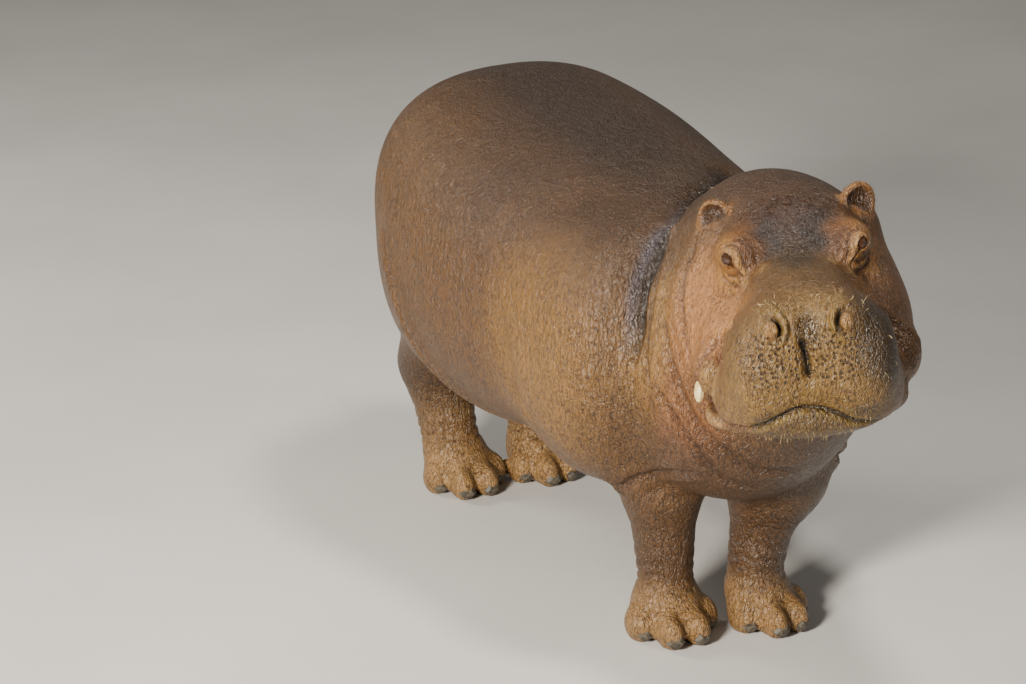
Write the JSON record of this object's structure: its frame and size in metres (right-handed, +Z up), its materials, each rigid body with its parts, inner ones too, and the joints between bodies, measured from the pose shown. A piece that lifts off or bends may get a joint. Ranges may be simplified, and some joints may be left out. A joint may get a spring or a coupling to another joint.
{
  "type": "hippopotamus",
  "caption": "Still life-size hippopotamus standing on its four feet, head raised and turned to its right, lips parted only at the right corner, small ears and short tail.",
  "frame": {"origin": "middle of the bounding box's foot, at floor level under the belly", "axes": "+Z up, -Y the way the body faces, +X the animal's left"},
  "size_m": [1.0582, 2.4936, 1.3835],
  "materials": {
    "skin": "thick, nearly hairless hide, damp on the neck and brow",
    "eye": "wet and dark brown",
    "nail": "dull grey horn",
    "tusk": "smooth yellowish ivory",
    "hair": "stiff sparse bristles"
  },
  "bodies": {
    "root": {"ear_left": "skin", "ear_right": "skin", "eye_left": "eye", "eye_right": "eye", "front_left_foot": "skin", "front_left_lower_leg": "skin", "front_left_nail_1": "nail", "front_left_nail_2": "nail", "front_left_nail_3": "nail", "front_left_nail_4": "nail", "front_left_upper_leg": "skin", "front_right_foot": "skin", "front_right_lower_leg": "skin", "front_right_nail_1": "nail", "front_right_nail_2": "nail", "front_right_nail_3": "nail", "front_right_nail_4": "nail", "front_right_upper_leg": "skin", "head": "skin", "hind_left_foot": "skin", "hind_left_lower_leg": "skin", "hind_left_nail_1": "nail", "hind_left_nail_2": "nail", "hind_left_nail_3": "nail", "hind_left_nail_4": "nail", "hind_left_upper_leg": "skin", "hind_right_foot": "skin", "hind_right_lower_leg": "skin", "hind_right_nail_1": "nail", "hind_right_nail_2": "nail", "hind_right_nail_3": "nail", "hind_right_nail_4": "nail", "hind_right_upper_leg": "skin", "lower_jaw": "skin", "muzzle": "skin", "neck": "skin", "tail": "skin", "trunk": "skin", "tusk_left": "tusk", "tusk_right": "tusk"}
  },
  "joints": []
}
